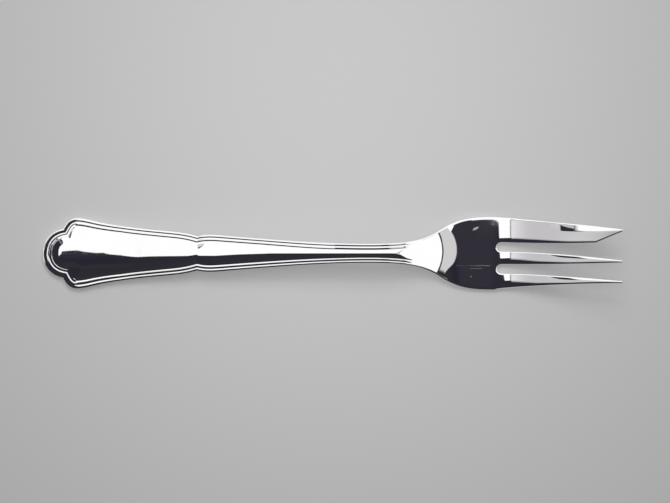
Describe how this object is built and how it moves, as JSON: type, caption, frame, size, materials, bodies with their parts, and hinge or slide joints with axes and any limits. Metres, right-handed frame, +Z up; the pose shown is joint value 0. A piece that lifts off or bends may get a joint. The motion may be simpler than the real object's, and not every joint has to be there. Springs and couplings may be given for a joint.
{
  "type": "pastry fork",
  "caption": "Pastry fork with three tines, the broad one slanted for cutting, and a lobed handle edged with a double thread.",
  "frame": {"origin": "middle of the bounding box in plan, on the plane the fork rests on", "axes": "+X along the fork towards the tines' tips, +Y towards the cutting tine, +Z up out of the fork's face"},
  "size_m": [0.15, 0.019, 0.0118],
  "materials": {
    "polished_steel": "mirror polish with fine scratches"
  },
  "bodies": {
    "root": {"fork": "polished_steel"}
  },
  "joints": []
}
